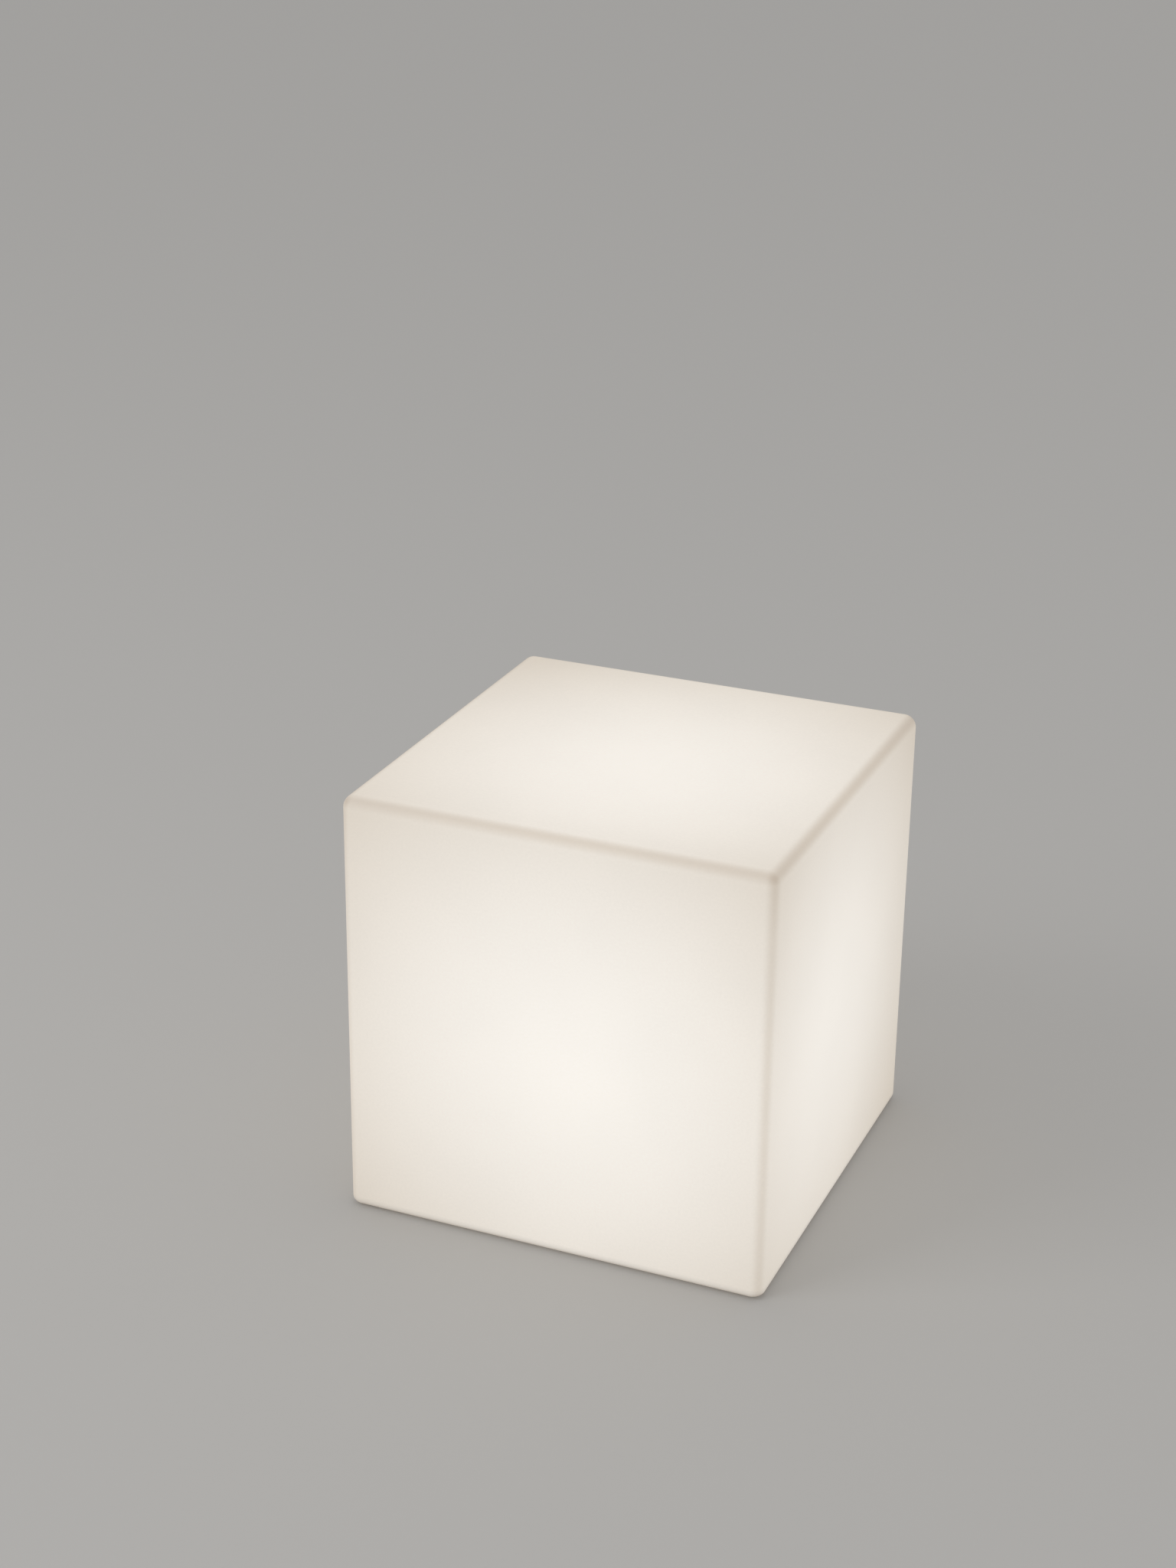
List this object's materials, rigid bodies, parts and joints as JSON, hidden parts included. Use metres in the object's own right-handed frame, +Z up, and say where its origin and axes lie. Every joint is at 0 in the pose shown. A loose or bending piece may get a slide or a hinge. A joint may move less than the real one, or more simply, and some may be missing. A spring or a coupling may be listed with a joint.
{
  "type": "led cube light",
  "caption": "Glowing white cube lamp: a hollow rounded plastic shell with a rechargeable light module screwed into its underside and a lamp head on a stem at mid-height.",
  "frame": {"origin": "on the floor under the centre of the cube", "axes": "+Z up, -Y out of the front face, +X to the right seen from the front"},
  "size_m": [0.4, 0.4, 0.4065],
  "materials": {
    "polyethylene": "translucent white polyethylene, satin skin, lit from inside",
    "brass": "turned brass",
    "housing_plastic": "fine textured light grey moulding",
    "silicone": "grey silicone",
    "steel": "plain stainless steel",
    "white_plastic": "white reflective moulding",
    "dark_plastic": "black moulding",
    "clear_plastic": "polished clear rod",
    "nickel": "bare nickel strip",
    "circuit_board": "green solder mask",
    "lamp_board": "white solder mask",
    "aluminium": "plain extruded aluminium",
    "opal": "opal diffusing plastic",
    "lit_led": "lit phosphor",
    "wire_insulation": "soft insulation",
    "cell_wrap": "shrink sleeve over a steel can",
    "rubber": "soft rubber pad"
  },
  "bodies": {
    "lamp": {"battery_cell_1": "cell_wrap", "battery_cell_2": "cell_wrap", "battery_lead": "wire_insulation", "battery_strap": "dark_plastic", "battery_tray": "dark_plastic", "board_chips": "dark_plastic", "board_plugs": "white_plastic", "capacitor": "aluminium", "cell_tabs": "nickel", "control_board": "circuit_board", "cover_screws": "steel", "dc_jack": "dark_plastic", "diffuser": "opal", "flange_bolts": "steel", "flange_gasket": "silicone", "flange_inserts": "brass", "flap_pin": "steel", "head_base": "aluminium", "heat_sink": "aluminium", "indicator_led": "white_plastic", "inductor": "dark_plastic", "jack_lead": "wire_insulation", "jack_nut": "steel", "lamp_lead": "wire_insulation", "light_pipe": "clear_plastic", "light_strip_1": "lamp_board", "light_strip_2": "lamp_board", "light_strip_3": "lamp_board", "light_strip_4": "lamp_board", "light_strip_5": "lamp_board", "light_strip_6": "lamp_board", "module_cover": "white_plastic", "module_housing": "housing_plastic", "pad_foot_1": "rubber", "pad_foot_2": "rubber", "pad_foot_3": "rubber", "pad_foot_4": "rubber", "return_sleeve": "silicone", "shell": "polyethylene", "side_leds": "lit_led", "stem_tube": "aluminium", "tact_switch": "dark_plastic", "top_board": "lamp_board", "top_leds": "lit_led", "vent_plug": "dark_plastic"},
    "button": {"power_button": "dark_plastic"},
    "flap": {"port_flap": "dark_plastic", "flap_seal": "silicone"}
  },
  "joints": [
    {"name": "power_button_press", "type": "slide", "parent": "lamp", "child": "button", "axis": [0, 0, 1], "range_m": [0, 0.001], "stiffness_N_per_m": 1200, "springref_m": -0.001, "deforming": ["return_sleeve"]},
    {"name": "port_flap_hinge", "type": "hinge", "parent": "lamp", "child": "flap", "pos_m": [-0.026, -0.0298, 0.0119], "axis": [1, 0, 0], "range_deg": [0, 95]}
  ]
}
